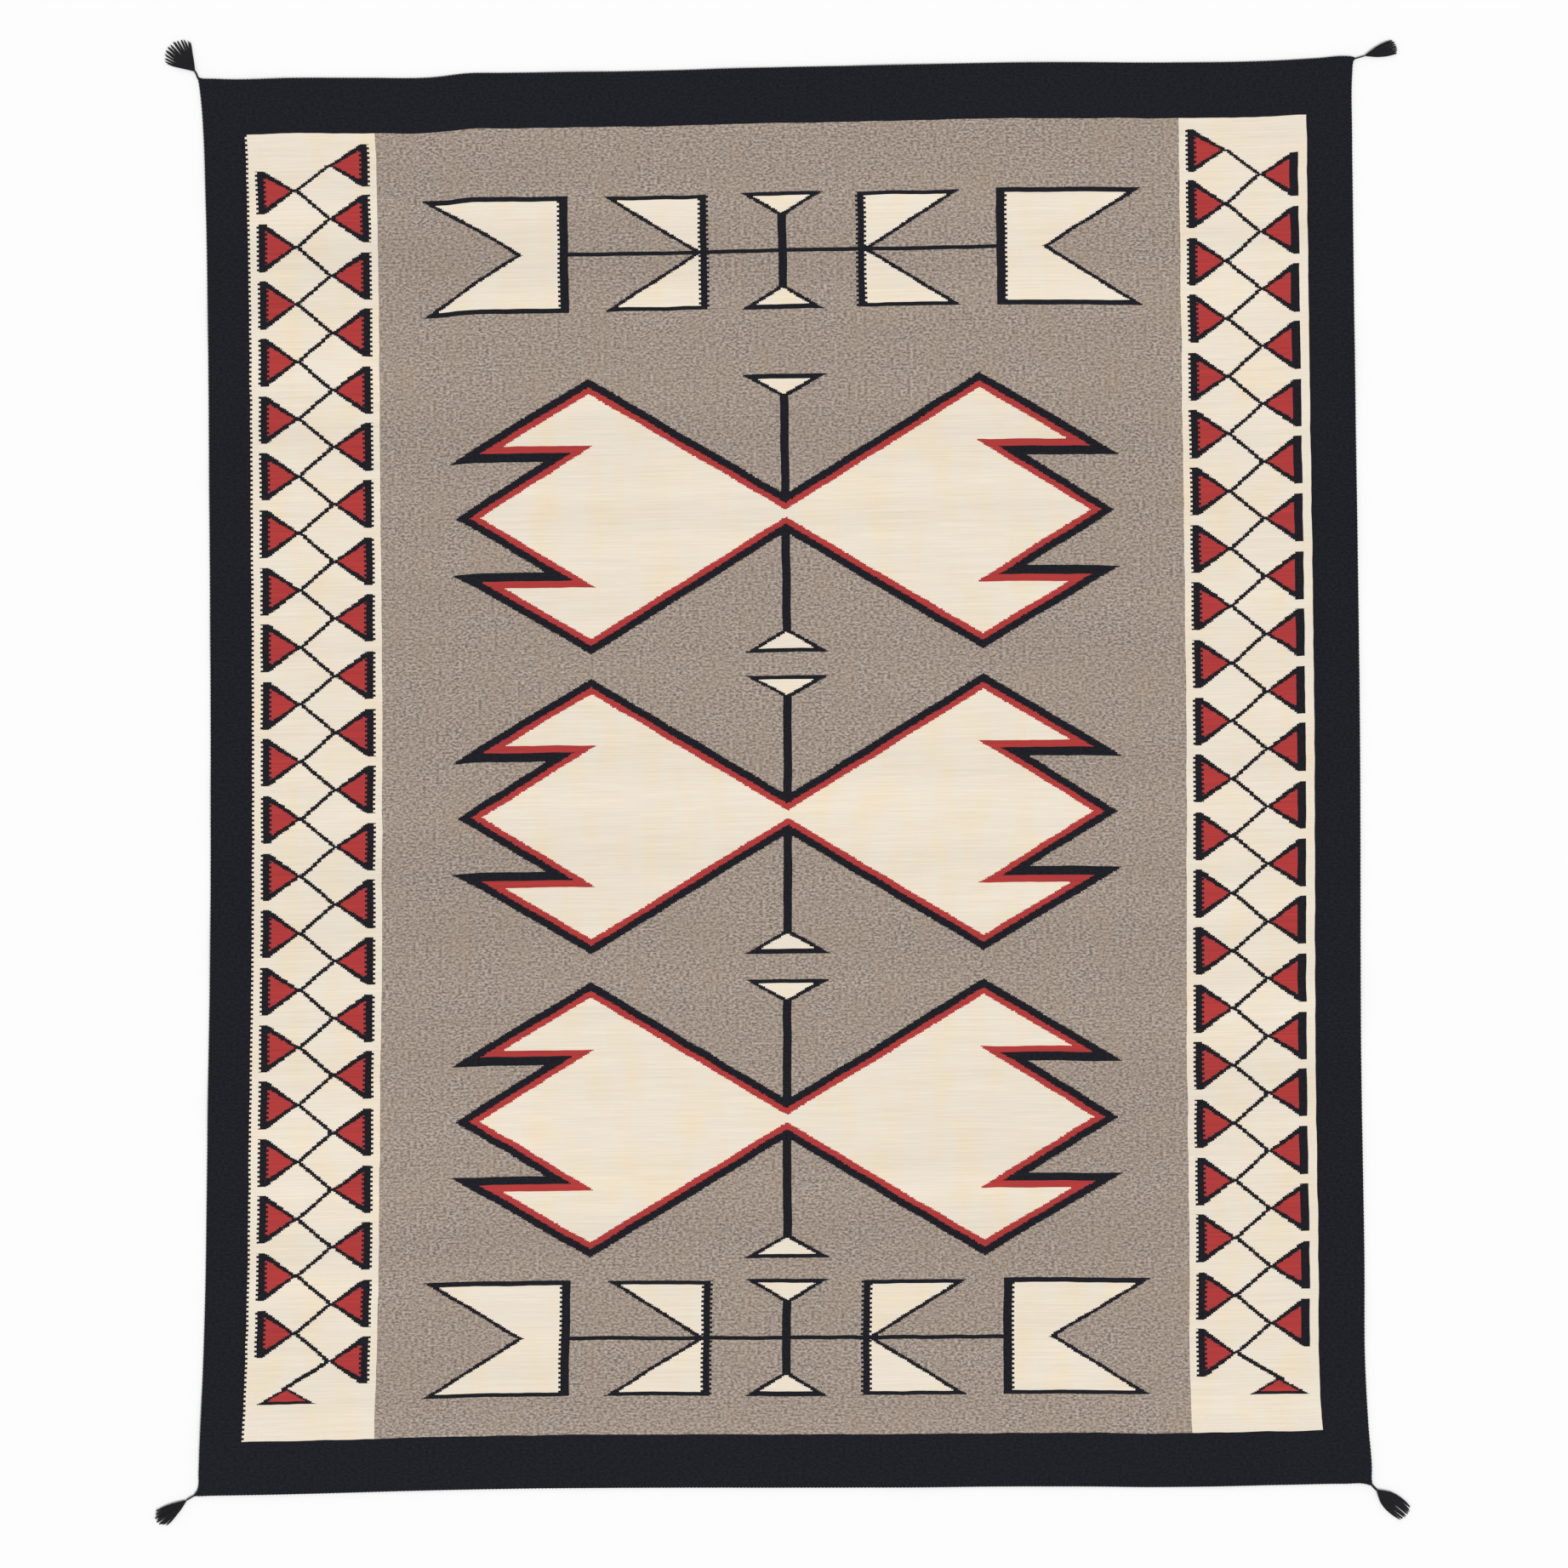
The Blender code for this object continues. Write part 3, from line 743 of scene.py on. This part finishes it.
NECK_HEIGHT = (2.5 * MM, 2.9 * MM)
STRAND_RADIUS = 0.85 * MM
STRAND_SIDES = 5
# Places along a strand, as shares of its length, and its thickness there as a share.
STRAND_TAPER = ((0, 0.85, 1), (0.9, 1.0, 0.8))
STRAND_STATIONS = 12
STRAND_START = 1.5 * MM
PILE_HEIGHT = 3.9 * MM
SETTLE_SHARE = 0.4
CUT_UNEVENNESS = 0.11
BUNCHING = 0.6
SWAY = 1.2 * MM


def heading(degrees):
    """The way over the floor that points at this angle from the x axis."""
    return np.array((math.cos(math.radians(degrees)), math.sin(math.radians(degrees)), 0.0))


def make_tassel(name, tip, neck, direction, half_angles, lengths, strands, bunches):
    """A tassel's twisted neck and its fan of cut strands, as one mesh."""
    rng = random.Random(name)
    neck_direction, neck_length, neck_width = neck
    middle, side_length = (length * MM for length in lengths)
    out = heading(neck_direction)
    start = np.array((*tip, 0.0)) * MM + np.array(SOLIDS_SHIFT)
    bend = start + out * neck_length * MM / 2
    centre = bend + heading(direction) * neck_length * MM / 2
    start = start - out * NECK_OVERLAP
    share = np.linspace(0, 1, NECK_STATIONS)[:, None]
    line = start * (1 - share) ** 2 + 2 * bend * share * (1 - share) + centre * share**2
    line[:, 2] = np.interp(share[:, 0], (0, 1), NECK_HEIGHT)
    lines, radii = twisted(line, np.full(len(line), neck_width * MM), NECK_PLIES, NECK_TWIST)
    bunch_places = [2 * (number + rng.uniform(0.2, 0.8)) / bunches - 1 for number in range(bunches)]
    along = np.linspace(0, 1, STRAND_STATIONS)
    angle_places = np.linspace(0, 1, len(half_angles))
    for number in range(strands):
        u = 2 * (number + rng.random()) / strands - 1
        pull = min(bunch_places, key=lambda place: abs(place - u))
        level = rng.random()
        length = (middle - (middle - side_length) * u**2) * (1 - CUT_UNEVENNESS * rng.random())
        reach = STRAND_START + (length - STRAND_START) * along
        half = np.interp(reach / middle, angle_places, half_angles)
        turn = (u + (pull - u) * BUNCHING * along**2) * half
        sway_width = rng.uniform(-SWAY, SWAY)
        sway = sway_width * np.sin(math.tau * (along * rng.uniform(0.4, 1.0) + rng.random()))
        ways = np.array([heading(direction + angle) for angle in turn])
        beside = ways[:, [1, 0, 2]] * (1, -1, 0)
        strand = centre + ways * reach[:, None] + beside * (sway * along)[:, None]
        settled = np.minimum(along / SETTLE_SHARE, 1.0)
        rest = STRAND_RADIUS + level * PILE_HEIGHT * (1 - 0.25 * along)
        root = NECK_HEIGHT[1] + (level - 0.5) * neck_width * MM * 0.6
        strand[:, 2] = root + (rest - root) * settled**2 * (3 - 2 * settled)
        lines.append(strand)
        radii.append(STRAND_RADIUS * np.interp(along, *STRAND_TAPER))
    made = yarns("tassel_" + name + "_wool", lines, radii, STRAND_SIDES)
    made.data.materials.append(yarn)
    return made


for tassel_row in TASSELS:
    tassel = make_tassel(*tassel_row)
    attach(tassel, "root")
    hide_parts("tassel_" + tassel_row[0])
